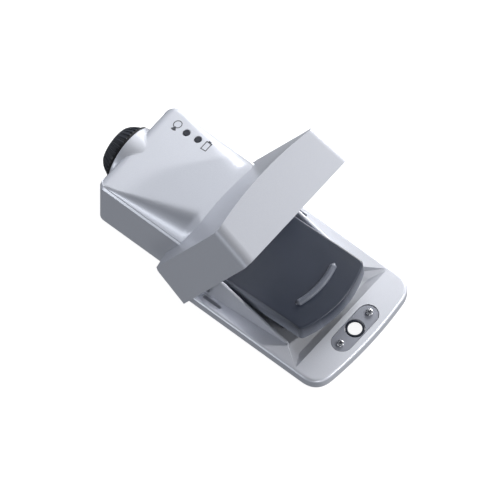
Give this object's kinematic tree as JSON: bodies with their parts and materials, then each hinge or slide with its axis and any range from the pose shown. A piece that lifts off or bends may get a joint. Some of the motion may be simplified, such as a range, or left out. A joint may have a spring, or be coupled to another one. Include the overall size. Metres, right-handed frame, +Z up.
{
  "type": "wireless foot switch with protective hood",
  "caption": "Wireless single-pedal foot switch: die-cast base and rear housing, forward-leaning protective hood, hinged plastic pedal, screw-in battery cap.",
  "frame": {"origin": "middle of the footprint, on the floor", "axes": "+Z up, +Y towards the battery cap at the rear, -Y towards the user, +X to the user's right when facing the open side of the hood"},
  "size_m": [0.125, 0.25, 0.1515],
  "materials": {
    "silver_paint": "satin silver-grey metallic paint on die-cast aluminium",
    "pedal_plastic": "fine-grained anthracite moulded plastic",
    "black_plastic": "black moulded plastic",
    "black_rubber": "matt black rubber",
    "grey_plate": "fine matt mid-grey plate",
    "bright_steel": "bright plated steel",
    "spring_steel": "drawn spring wire",
    "contact_brass": "plain brass contact",
    "board_green": "green lacquered circuit board",
    "smoked_lens": "dark smoked window",
    "cell_wrap": "plain blue shrink sleeve",
    "sintered_bronze": "oil-filled sintered bronze"
  },
  "bodies": {
    "base": {"antenna": "contact_brass", "battery_cell": "cell_wrap", "battery_spring": "contact_brass", "battery_tube": "black_plastic", "board_screw_1": "bright_steel", "board_screw_2": "bright_steel", "board_screw_3": "bright_steel", "body_casting": "silver_paint", "bottom_plate": "bright_steel", "circuit_board": "board_green", "eye_plate": "grey_plate", "eye_ring": "black_plastic", "eye_screw_left": "bright_steel", "eye_screw_right": "bright_steel", "front_left_foot": "black_rubber", "front_right_foot": "black_rubber", "hood": "silver_paint", "hood_screw_1": "bright_steel", "hood_screw_2": "bright_steel", "hood_screw_3": "bright_steel", "hood_screw_4": "bright_steel", "lead_gland": "black_rubber", "led_battery": "smoked_lens", "led_radio": "smoked_lens", "light_guide_battery": "smoked_lens", "light_guide_radio": "smoked_lens", "pin_clip_left": "spring_steel", "pin_clip_right": "spring_steel", "pivot_pin": "bright_steel", "plate_gasket": "black_rubber", "plate_screw_1": "bright_steel", "plate_screw_2": "bright_steel", "plate_screw_3": "bright_steel", "plate_screw_4": "bright_steel", "radio_module": "bright_steel", "rear_left_foot": "black_rubber", "rear_right_foot": "black_rubber", "return_spring_left": "spring_steel", "return_spring_right": "spring_steel", "stop_buffer_left": "black_rubber", "stop_buffer_right": "black_rubber", "switch_body": "black_plastic", "switch_lead": "black_rubber", "switch_screw_left": "bright_steel", "switch_screw_right": "bright_steel"},
    "pedal": {"pedal": "pedal_plastic", "pivot_bush_left": "sintered_bronze", "pivot_bush_right": "sintered_bronze"},
    "plunger": {"switch_plunger": "grey_plate"},
    "seal": {"cap_seal": "black_rubber"},
    "cap": {"battery_cap": "black_plastic", "cap_contact": "contact_brass"}
  },
  "joints": [
    {"name": "pedal_press", "type": "hinge", "parent": "base", "child": "pedal", "pos_m": [0, -0.003, 0.02], "axis": [1, 0, 0], "range_deg": [0, 7], "stiffness_Nm_per_rad": 6, "springref_deg": -5.73, "deforming": ["return_spring_left", "return_spring_right"]},
    {"name": "plunger_travel", "type": "slide", "parent": "base", "child": "plunger", "axis": [0, 0, -1], "range_m": [0, 0.0032], "stiffness_N_per_m": 300, "springref_m": -0.003},
    {"name": "cap_lift", "type": "slide", "parent": "base", "child": "seal", "axis": [0, 1, 0], "range_m": [0, 0.008]},
    {"name": "cap_turn", "type": "hinge", "parent": "seal", "child": "cap", "pos_m": [0, 0.114, 0.0276], "axis": [0, 1, 0], "range_deg": [0, 722]}
  ],
  "couplings": [
    {"joint": "plunger_travel", "follows": "pedal_press", "m_per_rad": 0.024},
    {"joint": "cap_turn", "follows": "cap_lift", "rad_per_m": 1570.8}
  ]
}
